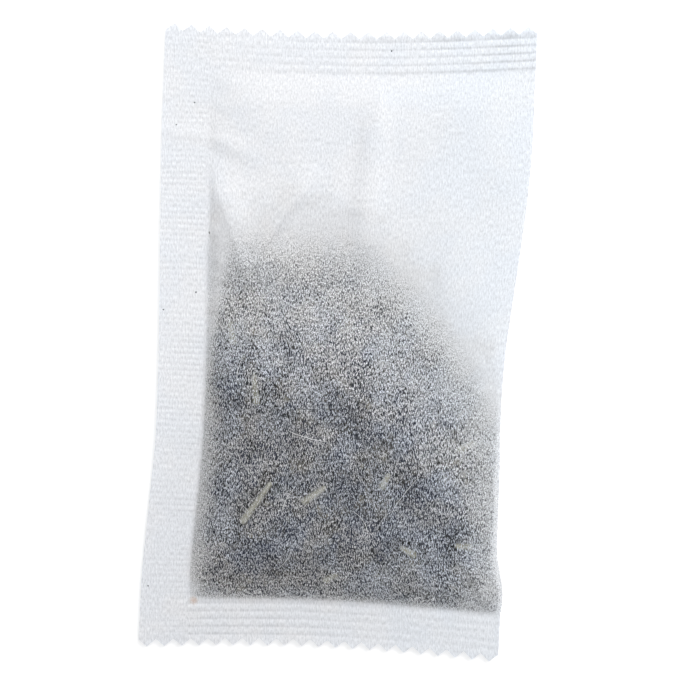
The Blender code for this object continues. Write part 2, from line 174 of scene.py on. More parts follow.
# How dark the painted shade in the end seals' rib furrows is, at the side seal and at the fold
FURROW_SHADE_ENDS = {"foot": (1.0, 0.1), "head": (0.3, 1.7)}

# The most that the sheet rises at its fold
FOLD_HEIGHT = 2.6 * MM

# The flat triangle beside the side seal: how far up the bag its tip and its foot are, its
# width and its height at the foot, how far the paper takes to sink again past its ridge, and
# the share of the height past the foot where it has faded out
FACET_TIP = 66.2 * MM
FACET_FOOT = 53.5 * MM
FACET_WIDTH = 5.0 * MM
FACET_HEIGHT = 1.75 * MM
FACET_FALL = 10 * MM
FACET_END = 1.4
FACET_FADE = 0.4

# The shallow bend across the side seal
BUCKLE_PLACE = 71.0 * MM
BUCKLE_SLOPE = 0.12
BUCKLE_WIDTH = 0.9 * MM
BUCKLE_HEIGHT = 0.14 * MM

FOLD_INSIDE = BAG_WIDTH - PAPER
CREEP_EDGE = FOLD_INSIDE - CREEP_WIDTH
POCKET_FOOT = BOTTOM_SEAL
POCKET_HEAD = BAG_LENGTH - TOP_SEAL
TEA_LEFT = SIDE_SEAL + TEA_INSET
TEA_RIGHT = BAG_WIDTH - TEA_FOLD_INSET
TEA_FOOT = POCKET_FOOT + TEA_INSET
SAME = 1e-9

FRONT_CELLS = (112, 188)
BACK_CELLS = (62, 104)
SEAL_CELLS = 40


def ease(value):
    """A smooth step from 0 to 1."""
    t = min(max(value, 0.0), 1.0)
    return t * t * (3 - 2 * t)


def swell(distance, shoulder):
    """The rounded rise from a border, from 0 at the border to 1 past the shoulder."""
    return math.sin(math.pi / 2 * min(max(distance / shoulder, 0.0), 1.0))


def spread(start, end, count):
    """Evenly spaced values, both ends included."""
    return [start + (end - start) * i / count for i in range(count + 1)]


def zigzag(value):
    """A wave of straight flanks, -1 at whole numbers and 1 halfway between them."""
    return 1 - 4 * abs(value % 1 - 0.5)


def tea_line(u):
    """How far up the bag the filling reaches."""
    run = max(u - TEA_FALL_START, 0.0) / (BAG_WIDTH - TEA_FALL_START)
    return TEA_LEVEL - TEA_FALL * run**1.5


def tea_depth(u, v):
    """The thickness that the filling gives the pocket."""
    sides = swell(u - SIDE_SEAL, SIDE_SHOULDER) * swell(BAG_WIDTH - u, FOLD_SHOULDER)
    ends = swell(v - POCKET_FOOT, BOTTOM_SHOULDER) * ease((tea_line(u) - v) / LEVEL_SHOULDER)
    across = 2 * (u - SIDE_SEAL) / (BAG_WIDTH - SIDE_SEAL) - 1
    up = 2 * (v - POCKET_FOOT) / (TEA_LEVEL - POCKET_FOOT) - 1
    crown = 1 - TEA_CROWN * min(across**2 + up**2, 2.0)
    return TEA_THICKNESS * crown * sides * ends


def pucker(u, v):
    """The height of the puckers in the front."""
    total = 0.0
    for start, end, height, half_width in PUCKERS:
        start, end = Vector(start) * MM, Vector(end) * MM
        along = end - start
        offset = Vector((u, v)) - start
        t = min(max(offset.dot(along) / along.length_squared, 0.0), 1.0)
        side = (offset - along * t).length / (half_width * MM)
        total += height * MM * ease(1 - side) * (0.35 + 0.65 * math.sin(math.pi * t))
    return total


def creases(u, v):
    """The height of the sharp creases in the front."""
    total = 0.0
    spot = Vector((u - BAG_WIDTH / 2, v - BAG_LENGTH / 2))
    for start, end, height, left, right in CREASES:
        start, end = Vector(start) * MM, Vector(end) * MM
        along = end - start
        t = (spot - start).dot(along) / along.length_squared
        off = along.normalized().cross(spot - start)
        share = 1 - abs(off) / ((left if off > 0 else right) * MM)
        if share > 0 and -CREASE_RUNOUT < t < 1 + CREASE_RUNOUT:
            start_fade = ease((t + CREASE_RUNOUT) / CREASE_FADE)
            end_fade = ease((1 + CREASE_RUNOUT - t) / CREASE_FADE)
            total += height * MM * share**CREASE_HOLLOW * start_fade * end_fade
    return total


def facet(u, v):
    """The height of the flat triangle beside the side seal, which ends in a sharp ridge."""
    t = (FACET_TIP - v) / (FACET_TIP - FACET_FOOT)
    if not 0 < t < FACET_END or u <= SIDE_SEAL:
        return 0.0
    ridge = SIDE_SEAL + FACET_WIDTH * t
    if u < ridge:
        share = (u - SIDE_SEAL) / (ridge - SIDE_SEAL)
    else:
        share = max(1 - (u - ridge) / FACET_FALL, 0) ** CREASE_HOLLOW
    return FACET_HEIGHT * t * share * ease((FACET_END - t) / FACET_FADE)


def gathers(u, v):
    """The small folds that run into the pocket from the side seal and the bottom seal."""
    total = 0.0
    for distance, along, seed in ((u - SIDE_SEAL, v, 3.0), (v - POCKET_FOOT, u, 8.0)):
        sway = 1.5 * noise.noise(Vector((along / (5 * MM), distance / (6 * MM), seed)))
        wave = math.sin(2 * math.pi * along / GATHER_PITCH + 2.5 * sway)
        fade = math.exp(-max(distance, 0) / GATHER_REACH) * swell(distance, 1.5 * MM)
        strength = 0.5 + noise.noise(Vector((along / (8 * MM), seed, 0)))
        total += GATHER_HEIGHT * wave * fade * max(strength, 0)
    return total


def opening(u, v):
    """The gap between the two layers, 0 along the seals, without the front's small wrinkles."""
    creep = CREEP_GAP * min(max((u - CREEP_EDGE) / CREEP_WIDTH, 0.0), 1.0)
    if not POCKET_FOOT < v < POCKET_HEAD or u <= SIDE_SEAL:
        return creep
    seals = swell(u - SIDE_SEAL, SIDE_SHOULDER) * swell(v - POCKET_FOOT, BOTTOM_SHOULDER)
    seals *= swell(POCKET_HEAD - v, BOTTOM_SHOULDER)
    slack = 2 * CLEARANCE + TEA_EDGE
    wave = SLACK_WAVE * noise.noise(Vector((u, v, 0)) / SLACK_WAVE_SIZE)
    near_fold = swell(BAG_WIDTH - u, FOLD_SHOULDER)
    fold = FOLD_SPREAD * ease((tea_line(u) + LEVEL_SHOULDER / 2 - v) / LEVEL_SHOULDER)
    flank = SIDE_SHOULDER / 2 * (1 + ease((v - UPPER_FLANK) / SIDE_SHOULDER))
    edge = swell(v - POCKET_FOOT, BOTTOM_SHOULDER / 2) * swell(u - SIDE_SEAL, flank)
    edge *= swell(POCKET_HEAD - v, BOTTOM_SHOULDER / 2)
    loose = (slack * near_fold + fold * (1 - near_fold)) * edge
    return max(creep, tea_depth(u, v) + loose + seals * near_fold * (wave + pucker(u, v)))


def wrinkles(u, v):
    """What the paper's own small folds and the leaf under it add to the front."""
    border = min(u - SIDE_SEAL, v - POCKET_FOOT, POCKET_HEAD - v, CREEP_EDGE - u)
    if border <= 0:
        return 0.0
    leaf = ease((tea_line(u) - v) / (8 * MM)) * ease(border / (2 * MM))
    dent = noise.noise(Vector((u, v, 0.5)) / LEAF_DENT_SIZE)
    fine = gathers(u, v) * ease(border / (0.6 * MM)) + creases(u, v) * ease(border / (1.5 * MM))
    return LEAF_DENT * dent * leaf + fine + facet(u, v)


def haze(u, v):
    """How far the paper stands off the leaf, 0 pressed on it and 1 clear of it."""
    border = min(u - SIDE_SEAL, v - POCKET_FOOT, POCKET_HEAD - v)
    if border <= 0:
        return 1.0
    up = v + TEA_LEVEL - tea_line(u)
    rise = HAZE_SLOW * ease((up - HAZE_START) / HAZE_RISE)
    rise += (1 - HAZE_SLOW) * ease((up - HAZE_TOP) / HAZE_TOP_RISE)
    left = SIDE_SEAL + HAZE_SLANT * ease((v - HAZE_SLANT_START) / (TEA_LEVEL - HAZE_SLANT_START))
    past_turn = ease((v - HAZE_SIDE_TURN) / HAZE_SIDE_TURN_RISE)
    reach = HAZE_SIDE * (HAZE_SIDE_LOW - HAZE_SIDE_LOSS * past_turn)
    side = sum(part * (1 - ease((u - left) / (far * reach))) for part, far in HAZE_SIDE_FRINGES)
    reach = HAZE_FOOT * (HAZE_FOOT_LEFT + HAZE_FOOT_RIGHT * ease(u / BAG_WIDTH * 2 - 0.6))
    foot = 1 - HAZE_FOOT_NEAR * ease((v - POCKET_FOOT) / HAZE_FOOT)
    foot -= HAZE_FOOT_FAR * ease((v - POCKET_FOOT) / reach)
    past_turn = ease((v - HAZE_FOLD_TURN) / HAZE_FOLD_TURN_RISE)
    share = HAZE_FOLD_SHARE * (HAZE_FOLD_LOW - HAZE_FOLD_LOSS * past_turn)
    fold = share * (1 - ease((BAG_WIDTH - u) / HAZE_FOLD))
    lumps = noise.noise(Vector((u, v, 4)) / HAZE_LUMP_SIZE)
    lumps += 0.6 * noise.noise(Vector((u, v, 9)) / HAZE_FINE_LUMP_SIZE)
    clear = 1 - (1 - rise) * (1 - side) * (1 - foot) * (1 - fold)
    return min(max(clear + HAZE_LUMPS * (lumps + 0.3) * (1 - clear), 0.0), 1.0)


def furrow_shade(u, v):
    """The painted shade in the furrows that the sealing jaws' ridges left here, 0 off them."""
    seal, wave = rib_wave(u, v)
    if seal == "side":
        strength = 0.25 + 0.75 * ease(u / SIDE_SEAL - 0.2)
        patchy = max(0.4 + noise.noise(Vector((u / 3, v, 2)) / (3 * MM)), 0)
    elif seal:
        left, right = FURROW_SHADE_ENDS[seal]
        strength = left + (right - left) * ease(u / BAG_WIDTH * 1.4 - 0.3)
        patchy = 0.8 + 0.5 * noise.noise(Vector((u, v, 6)) / (4 * MM))
    else:
        return 0.0
    return max(-wave, 0) * strength * patchy


def underside(u, v):
    """How high the outer underside lies, 0 where the filling presses it on the table."""
    side = 1 - ease((u - SIDE_SEAL) / UNDER_FLARE)
    foot = 1 - ease((v - POCKET_FOOT) / UNDER_FLARE)
    fold = 1 - ease((BAG_WIDTH - u) / UNDER_FLARE)
    flare = 1 - (1 - side) * (1 - foot) * (1 - 0.6 * fold)
    past_tea = ease((v - tea_line(u) + UNDER_FLARE) / (BAG_LENGTH - TEA_LEVEL))
    lift = SEAL_LIFT + (TOP_LIFT - SEAL_LIFT) * past_tea
    return lift * flare + TOP_LIFT * past_tea * (1 - flare) + buckle(u, v)


def buckle(u, v):
    """The height of the shallow bend across the side seal, which runs out in the pocket."""
    off = (v - BUCKLE_PLACE + BUCKLE_SLOPE * u) / BUCKLE_WIDTH
    return BUCKLE_HEIGHT * math.exp(-off * off) * (1 - ease((u - SIDE_SEAL) / SIDE_SEAL))


def end_rows(seal, parts=1):
    """Places across an end seal's ribs, measured in from its teeth, that many to a flank."""
    step = END_RIB_PITCH / 2
    room = seal - RIB_RUNOUT - TOOTH_DEPTH - TOOTH_LAND
    return [seal - RIB_RUNOUT - step * i / parts for i in range(parts * int(room / step) + 1)]


def side_rows(parts=1):
    """Places across the side seal's ribs, up the bag, that many to a flank."""
    step = SIDE_RIB_PITCH / 2
    start = TOOTH_DEPTH + TOOTH_LAND
    count = int((BAG_LENGTH - 2 * start) / step)
    first = (BAG_LENGTH - count * step) / 2
    return [first + step * i / parts for i in range(parts * count + 1)]


FIRST_SIDE_RIB = side_rows()[0]
END_RIB_ROWS = {"foot": end_rows(BOTTOM_SEAL), "head": end_rows(TOP_SEAL)}


def rib_wave(u, v):
    """The seal whose ribs are here, and their wave: -1 in a furrow and 1 on a ridge."""
    if u < SIDE_SEAL - RIB_RUNOUT / 2:
        return "side", zigzag((v - FIRST_SIDE_RIB) / SIDE_RIB_PITCH)
    for end, depth in (("foot", v), ("head", BAG_LENGTH - v)):
        rows = END_RIB_ROWS[end]
        if rows[-1] - SAME <= depth <= rows[0] + SAME:
            return end, zigzag((rows[0] - depth) / END_RIB_PITCH)
    return None, 0.0


def seal_ribs(u, v):
    """The height that the sealing jaws' ribs give both layers together."""
    seal, wave = rib_wave(u, v)
    if not seal or abs(u - SIDE_SEAL) < RIB_RUNOUT / 2:
        return 0.0
    worn = 0.62 + 0.75 * noise.noise(Vector((u / 2, v, 5)) / (3.5 * MM))
    worn = min(max(worn, 0.2), 1.0)
    if seal == "side":
        worn *= 0.45 + 0.55 * ease((v - 20 * MM) / (30 * MM))
    return worn * RIB_DEPTH / 2 * wave


def teeth(u):
    """How far the pinking is cut back from the tips."""
    count = round(BAG_WIDTH / TOOTH_PITCH)
    return TOOTH_DEPTH * (0.5 - 0.5 * zigzag(u / BAG_WIDTH * count))


def place(u, v):
    """Where a flat place of the bag lies on the table, x and y."""
    high = ease((v - TEA_LEVEL / 2) / (BAG_LENGTH - TEA_LEVEL * 0.75))
    low = 1 - ease((v - POCKET_FOOT) / BOTTOM_SHOULDER)
    fold = FOLD_DRAW - (FOLD_DRAW + FOLD_SLANT) * high + (FOLD_DRAW_AT_END - FOLD_DRAW) * low
    middle = (TEA_LEVEL + POCKET_FOOT) / 2
    reach = middle - POCKET_FOOT if v < middle else POCKET_HEAD - middle
    side = SIDE_DRAW * (1 - ease(abs(v - middle) / reach))
    shrink = (BAG_WIDTH - SIDE_SEAL - fold - side) / (BAG_WIDTH - SIDE_SEAL)
    x = side - BAG_WIDTH / 2 + min(u, SIDE_SEAL) + max(u - SIDE_SEAL, 0) * shrink
    head = ease((v - POCKET_HEAD + BOTTOM_SHOULDER) / BOTTOM_SHOULDER)
    bow = (BOTTOM_BOW * low - TOP_BOW * head) * math.sin(math.pi * u / BAG_WIDTH)
    skew = TOP_SKEW * (u / BAG_WIDTH - 0.5) * v / BAG_LENGTH
    return x, v - BAG_LENGTH / 2 + bow + skew


class Cut:
    """A flat shape: its places, the lines that its facets keep to, and its facets."""

    def __init__(self):
        self.places = []
        self.lines = set()
        self.known = {}

    def point(self, u, v):
        key = round(u, 8), round(v, 8)
        if key not in self.known:
            self.known[key] = len(self.places)
            self.places.append((u, v))
        return self.known[key]

    def line(self, places):
        marks = [self.point(u, v) for u, v in places]
        self.lines.update((a, b) for a, b in zip(marks, marks[1:]) if a != b)
        return marks

    def facets(self):
        """The triangles inside the outline, anticlockwise seen from above."""
        points = [Vector(spot) for spot in self.places]
        made = delaunay_2d_cdt(points, sorted(self.lines), [], 1, SAME)
        names = [sources[0] for sources in made[3]]
        return [[names[i] for i in face] for face in made[2]]


def end_edge(top):
    """The pinked edge of one end, from the side seal to the fold."""
    marks = spread(0, BAG_WIDTH, 4 * round(BAG_WIDTH / TOOTH_PITCH))
    marks = [u for u in marks if abs(u - BAG_WIDTH) < SAME or u < CREEP_EDGE - CREEP_WIDTH]
    marks = sorted(marks + [CREEP_EDGE, FOLD_INSIDE])
    return [(u, BAG_LENGTH - teeth(u) if top else teeth(u)) for u in marks]


def bag_cut(cells):
    """The flat bag with its seal ribs, its pocket line and a pocket of that many cells."""
    low_ribs = sorted(end_rows(BOTTOM_SEAL, 2))
    high_ribs = [BAG_LENGTH - depth for depth in end_rows(TOP_SEAL, 2)]
    chain = spread(POCKET_FOOT, POCKET_HEAD, FRONT_CELLS[1])
    cut = Cut()
    fold = [(BAG_WIDTH, v) for v in low_ribs + chain + high_ribs]
    side = [(0.0, v) for v in reversed(side_rows(2))]
    loop = end_edge(False) + fold + end_edge(True)[::-1] + side
    cut.outline = cut.line(loop + loop[:1])

    seal_places = spread(0.0, SIDE_SEAL - RIB_RUNOUT, 5)
    for v in side_rows(2):
        cut.line([(u, v) for u in seal_places])
    seal_columns = spread(SIDE_SEAL + RIB_RUNOUT, CREEP_EDGE, SEAL_CELLS)
    for v in low_ribs + high_ribs:
        cut.line([(u, v) for u in seal_columns + [FOLD_INSIDE, BAG_WIDTH]])

    columns = spread(SIDE_SEAL, CREEP_EDGE, FRONT_CELLS[0])
    foot, head = teeth(FOLD_INSIDE), BAG_LENGTH - teeth(FOLD_INSIDE)
    crook = [foot] + low_ribs + chain + high_ribs + [head]
    cut.crook = cut.line([(FOLD_INSIDE, v) for v in crook])
    for v in (POCKET_FOOT, POCKET_HEAD):
        cut.line([(u, v) for u in columns])
    cut.line([(SIDE_SEAL, v) for v in chain])
    low_creep = [teeth(CREEP_EDGE)] + low_ribs + [POCKET_FOOT]
    high_creep = [POCKET_HEAD] + high_ribs + [BAG_LENGTH - teeth(CREEP_EDGE)]
    cut.line([(CREEP_EDGE, v) for v in low_creep])
    cut.line([(CREEP_EDGE, v) for v in high_creep])

    for u in spread(SIDE_SEAL, CREEP_EDGE, cells[0])[1:-1]:
        for v in spread(POCKET_FOOT, POCKET_HEAD, cells[1])[1:-1]:
            cut.point(u, v)
    return cut


def in_pocket(cut, facet):
    """Whether a facet lies over the pocket or over the hair channel beside the fold."""
    u = sum(cut.places[i][0] for i in facet) / 3
    v = sum(cut.places[i][1] for i in facet) / 3
    in_creep = CREEP_EDGE < u < FOLD_INSIDE
    return in_creep or (SIDE_SEAL < u < FOLD_INSIDE and POCKET_FOOT < v < POCKET_HEAD)


class Sheet:
    """The folded sheet's mesh. Each flat place can have a vertex on several levels."""

    def __init__(self):
        self.mesh = bmesh.new()
        self.haze = self.mesh.verts.layers.float.new("haze")
        # The shade painted into the seals' rib furrows, kept on each vertex
        self.furrow_shade = self.mesh.verts.layers.float.new("furrow_shade")
        self.unfolded = self.mesh.loops.layers.uv.new("unfolded")
        self.made = {}
        self.heights = {}

    def levels(self, spot):
        """Where a flat place lies, its height, the gap over it and the paper's haze there."""
        if spot not in self.heights:
            u, v = spot
            gap = opening(min(u, FOLD_INSIDE), v)
            gap = max(gap, 0) + (wrinkles(u, v) if gap > CREEP_GAP else 0)
            low = underside(u, v) + seal_ribs(u, v)
            self.heights[spot] = (*place(u, v), low, gap, haze(u, v))
        return self.heights[spot]

    def vertex(self, spot, level):
        """A place's vertex on a level.

        under and upper are the outer faces and bend is where they meet at the fold. floor and
        roof are the pocket's faces and crook is where they meet inside the fold. Where the
        layers are fused, floor and roof are one level, line.
        """
        x, y, low, gap, stand_off = self.levels(spot)
        if level in ("floor", "roof") and gap <= SAME:
            level = "line"
        key = round(spot[0], 8), round(spot[1], 8), level
        if key not in self.made:
            heights = {
                "under": low,
                "floor": low + PAPER,
                "line": low + PAPER,
                "bend": low + PAPER + gap / 2,
                "crook": low + PAPER + gap / 2,
                "roof": low + PAPER + gap,
                "upper": low + 2 * PAPER + gap,
            }
            if level == "bend":
                x += PAPER + gap / 2
            if level == "crook":
                x += gap / 2
            self.made[key] = self.mesh.verts.new((x, y, heights[level]))
            self.made[key][self.haze] = stand_off
            self.made[key][self.furrow_shade] = furrow_shade(*spot)
        return self.made[key]

    def face(self, corners, inside=False, behind=False):
        """A face of the outside or of the pocket, mapped by its place on the unfolded sheet."""
        marks = {self.vertex(spot, level): (spot, level) for spot, level in corners}
        made = self.mesh.faces.new(marks)
        made.material_index = int(inside)
        for loop in made.loops:
            (u, v), level = marks[loop.vert]
            if level == "bend":
                u += self.levels((u, v))[3] / 2
            along = 2 * BAG_WIDTH + FOLD_HEIGHT - u if behind else u
            loop[self.unfolded].uv = along / UV_SIZE, v / UV_SIZE

    def inner_levels(self, spot):
        """The levels between the outer faces at a place on the outline, from the lowest."""
        if abs(spot[0] - BAG_WIDTH) < SAME:
            return ["bend"]
        if abs(spot[0] - FOLD_INSIDE) < SAME:
            return ["floor", "crook", "roof"]
        if CREEP_EDGE - SAME <= spot[0] < FOLD_INSIDE:
            return ["floor", "roof"]
        return []

    def rim(self, here, there):
        """The cut edge of the sheet between two places on the outline."""
        here_inner, there_inner = self.inner_levels(here), self.inner_levels(there)
        if here_inner and there_inner and here_inner[0] == there_inner[0]:
            middle = here_inner[0], here_inner[-1]
            low = [(here, "under"), (there, "under"), (there, middle[0]), (here, middle[0])]
            self.face(low, False, True)
            self.face([(here, middle[1]), (there, middle[1]), (there, "upper"), (here, "upper")])
            return
        rise = [(there, level) for level in ["under"] + there_inner + ["upper"]]
        drop = [(here, level) for level in ["upper"] + here_inner[::-1] + ["under"]]
        self.face(rise + drop)


def fused_corners(cut, facets):
    """The facets in the pocket's corners whose places all lie on the pocket line."""
    spots = [[cut.places[i] for i in facet] for facet in facets if in_pocket(cut, facet)]
    return {frozenset(three) for three in spots if max(opening(*spot) for spot in three) <= SAME}


def paper_mesh():
    """The whole sheet: both layers, the cut edge all round and the crook of the fold inside."""
    front, back = bag_cut(FRONT_CELLS), bag_cut(BACK_CELLS)
    front_facets, back_facets = front.facets(), back.facets()
    fused = fused_corners(front, front_facets) & fused_corners(back, back_facets)
    sheet = Sheet()
    layers = ((front, front_facets, "upper", "roof", 1), (back, back_facets, "under", "floor", -1))
    for cut, facets, outer, inner, turn in layers:
        behind = cut is back
        for facet in facets:
            corners = [cut.places[i] for i in facet][::turn]
            sheet.face([(spot, outer) for spot in corners], False, behind)
            if in_pocket(cut, facet) and frozenset(corners) not in fused:
                sheet.face([(spot, inner) for spot in corners[::-1]], True, behind)
    outline = [front.places[i] for i in front.outline]
    for here, there in zip(outline, outline[1:]):
        sheet.rim(here, there)
    crook = [front.places[i] for i in front.crook]
    for low, high in zip(crook, crook[1:]):
        for first, last in (("floor", "crook"), ("crook", "roof")):
            sheet.face([(low, first), (low, last), (high, last), (high, first)], True)
    return sheet.mesh


# The layers of fibre in the paper: the turn from the web's length, how much longer than wide
# its strands are and how many waves of them there are across a decimetre
FIBRES = ((0.04, 4.6, 960), (-0.18, 4.2, 900), (0.22, 4.2, 860))

# The brown stain on the bottom seal, on the lying bag
STAIN_SPOT = (-17.7 * MM, -36.3 * MM, 1.3 * MM)
STAIN_REACH = 1.1 * MM

# How much fibre covers the leaf, pressed on it and lifted off it, and how the look varies
FIBRE_LEVEL = 0.667
FIBRE_GROWTH = 0.226
FIBRE_SOFTNESS = 0.03
FIBRE_CLOUDS = 0.16
FIBRE_LIFT_OFF = 1.4
CLOUD_SCALE = 26
BREAK_SCALE = 880
STREAK_SCALE = 520
STREAK_DEPTH = 0.60
TINT_SCALE = 16
VEIL_FALL = 4.4
PRESSED_SHADE = 0.19
THROUGH_SHARE = 0.22


class Finish:
    """A material's nodes, added one by one."""

    def __init__(self, name):
        self.material = bpy.data.materials.new(name)
        self.material.use_nodes = True
        self.tree = self.material.node_tree
        self.tree.nodes.clear()

    def add(self, kind, settings=None, **inputs):
        """A node with its settings. An input is a value or another node's output socket."""
        node = self.tree.nodes.new(kind)
        for key, value in (settings or {}).items():
            setattr(node, key, value)
        for key, value in inputs.items():
            name = key.replace("_", " ")
            numbered = name.startswith("in") and name[2:].isdigit()
            self.feed(node.inputs[int(name[2:]) if numbered else name], value)
        return node

    def feed(self, socket, value):
        if isinstance(value, bpy.types.NodeSocket):
            self.tree.links.new(value, socket)
        else:
            socket.default_value = value

    def math(self, operation, first, second=0.0, clamp=False):
        settings = {"operation": operation, "use_clamp": clamp}
        return self.add("ShaderNodeMath", settings, in0=first, in1=second).outputs[0]

    def fit(self, value, low, high, new_low=0.0, new_high=1.0):
        """The value moved from one range to another, clamped and smooth."""
        settings = {"interpolation_type": "SMOOTHSTEP"}
        node = self.add("ShaderNodeMapRange", settings, Value=value, From_Min=low, From_Max=high,
                        To_Min=new_low, To_Max=new_high)
        return node.outputs["Result"]

    def place(self, turn=0.0, stretch=(1, 1, 1)):
        """The piece's own coordinates, stretched and then turned about Z."""
        spot = self.add("ShaderNodeTexCoord").outputs["Object"]
        return self.turned(spot, turn, stretch)

    def turned(self, spot, turn, stretch, shift=0.0):
        node = self.add("ShaderNodeMapping", {"vector_type": "TEXTURE"}, Vector=spot,
                        Location=(shift, shift, 0), Rotation=(0, 0, turn), Scale=stretch)
        return node.outputs["Vector"]

    def noise(self, vector, scale, detail=2.0, roughness=0.5, flat=False):
        settings = {"noise_dimensions": "2D" if flat else "3D"}
        node = self.add("ShaderNodeTexNoise", settings, Vector=vector, Scale=scale,
                        Detail=detail, Roughness=roughness)
        return node.outputs["Fac"]

    def mix_colour(self, factor, first, second, blend="MIX"):
        node = self.add("ShaderNodeMix", {"data_type": "RGBA", "blend_type": blend})
        for number, value in ((0, factor), (6, first), (7, second)):
            self.feed(node.inputs[number], value)
        return node.outputs[2]

    def surface(self, shader):
        self.add("ShaderNodeOutputMaterial", Surface=shader)
        return self.material


def filter_paper():
    """Long white fibres laid mostly along the web, thin enough to see the leaf through."""
    f = Finish("filter_paper")
    sheet = f.add("ShaderNodeTexCoord").outputs["UV"]
    apart = f.add("ShaderNodeAttribute", {"attribute_name": "haze"}).outputs["Fac"]
    crest = None
    for number, (turn, length, scale) in enumerate(FIBRES):
        where = f.turned(sheet, turn, (1, length, 1), 0.37 * number)
        wave = f.noise(where, scale, 0.0, flat=True)
        crest = wave if crest is None else f.math("MAXIMUM", crest, wave)
    clouds = f.noise(f.turned(sheet, 0.5, (1, 1.2, 1)), CLOUD_SCALE, 2.0, 0.6, flat=True)
    clouds = f.math("SUBTRACT", clouds, 0.5)
    growth = f.math("MULTIPLY", f.math("POWER", apart, FIBRE_LIFT_OFF), FIBRE_GROWTH)
    growth = f.math("ADD", growth, f.math("MULTIPLY", clouds, FIBRE_CLOUDS))
    level = f.math("ADD", crest, growth)
    strand = f.fit(level, FIBRE_LEVEL - FIBRE_SOFTNESS, FIBRE_LEVEL + FIBRE_SOFTNESS)
    broken = f.noise(f.turned(sheet, 0.1, (1, 1.6, 1)), BREAK_SCALE, 0.0, flat=True)
    broken = f.fit(broken, 0.34, 0.56, 0.30, 1.0)
    strand = f.math("MULTIPLY", strand, broken)
    # Less fibre cover where the paper lies on the leaf: painted shade for fibres that are lit less
    # there
    strand = f.math("MULTIPLY", strand, f.fit(apart, 0.0, 0.25, 0.80, 1.0))
    veil = f.math("ADD", f.math("MULTIPLY", f.math("POWER", apart, VEIL_FALL), 0.94), 0.01)
    rest = f.math("MULTIPLY", f.math("SUBTRACT", 0.97, veil), strand)
    cover = f.math("ADD", rest, veil, clamp=True)

    tint = f.noise(sheet, TINT_SCALE, 2.0, flat=True)
    patch = f.fit(tint, 0.40, 0.60)
    near = f.mix_colour(patch, (0.86, 0.905, 1.0, 1), (0.93, 0.930, 0.955, 1))
    patch = f.fit(tint, 0.35, 0.65)
    far = f.mix_colour(patch, (0.93, 0.943, 0.970, 1), (0.958, 0.958, 0.970, 1))
    tone = f.mix_colour(f.fit(apart, 0.1, 0.7), near, far)
    where = f.turned(sheet, 0.06, (1, 3.0, 1), 0.2)
    streak = f.math("SUBTRACT", f.noise(where, STREAK_SCALE, 1.0, 0.6, flat=True), 0.5)
    shade = f.math("ADD", f.math("MULTIPLY", streak, STREAK_DEPTH), 0.93)
    shade = f.math("ADD", shade, f.math("MULTIPLY", strand, 0.07))
    # Painted shade: the colour darkens along the seals' rib furrows
    furrow_shade = f.add("ShaderNodeAttribute", {"attribute_name": "furrow_shade"}).outputs["Fac"]
    furrow_shade = f.math("SUBTRACT", 1.0, f.math("MULTIPLY", furrow_shade, PRESSED_SHADE))
    shade = f.math("MULTIPLY", shade, furrow_shade)
    grey = f.add("ShaderNodeCombineColor", in0=shade, in1=shade, in2=shade).outputs[0]
    colour = f.mix_colour(1.0, tone, grey, "MULTIPLY")
    across, up = f.add("ShaderNodeSeparateXYZ", in0=sheet).outputs[:2]
    cool = f.mix_colour(f.fit(across, 0.20, 0.48), (1, 1, 1, 1), (0.955, 0.980, 1.0, 1))
    colour = f.mix_colour(1.0, colour, cool, "MULTIPLY")
    # Painted shade: the colour darkens towards the bottom of the bag, where the lamp's light falls
    # off
    bottom_falloff_shade = f.mix_colour(f.fit(up, 0.0, 0.45), (0.966, 0.960, 0.956, 1), (1, 1, 1, 1))
    colour = f.mix_colour(1.0, colour, bottom_falloff_shade, "MULTIPLY")
    spot = f.add("ShaderNodeTexCoord").outputs["Object"]
    away = f.add("ShaderNodeVectorMath", {"operation": "DISTANCE"}, in0=spot, in1=STAIN_SPOT)
    ragged = f.math("ADD", away.outputs["Value"], f.math("MULTIPLY", broken, 0.4 * MM))
    stain = f.fit(ragged, STAIN_REACH, 0.3 * MM, 0.0, 0.55)
    colour = f.mix_colour(stain, colour, (0.62, 0.36, 0.20, 1))
    paper = f.add("ShaderNodeBsdfPrincipled", Base_Color=colour, Roughness=0.8,
                  Specular_IOR_Level=0.2)
    glow = f.add("ShaderNodeBsdfTranslucent", Color=(0.90, 0.94, 0.99, 1))
    body = f.add("ShaderNodeMixShader", in0=THROUGH_SHARE,
                 in1=paper.outputs[0], in2=glow.outputs[0])
    clear = f.add("ShaderNodeBsdfTransparent", Color=(1, 1, 1, 1))
    mixed = f.add("ShaderNodeMixShader", in0=cover, in1=clear.outputs[0], in2=body.outputs[0])
    return f.surface(mixed.outputs[0])


def paper_inside():
    """The sheet's faces inside the pocket: a thin even bloom of white fibre."""
    f = Finish("filter_paper_inside")
    cloud = f.noise(f.place(), 300, 1.0)
    glow = f.add("ShaderNodeBsdfTranslucent", Color=(0.90, 0.94, 0.99, 1))
    clear = f.add("ShaderNodeBsdfTransparent", Color=(1, 1, 1, 1))
    cover = f.math("MULTIPLY", cloud, 0.04)
    mixed = f.add("ShaderNodeMixShader", in0=cover, in1=clear.outputs[0], in2=glow.outputs[0])
    return f.surface(mixed.outputs[0])


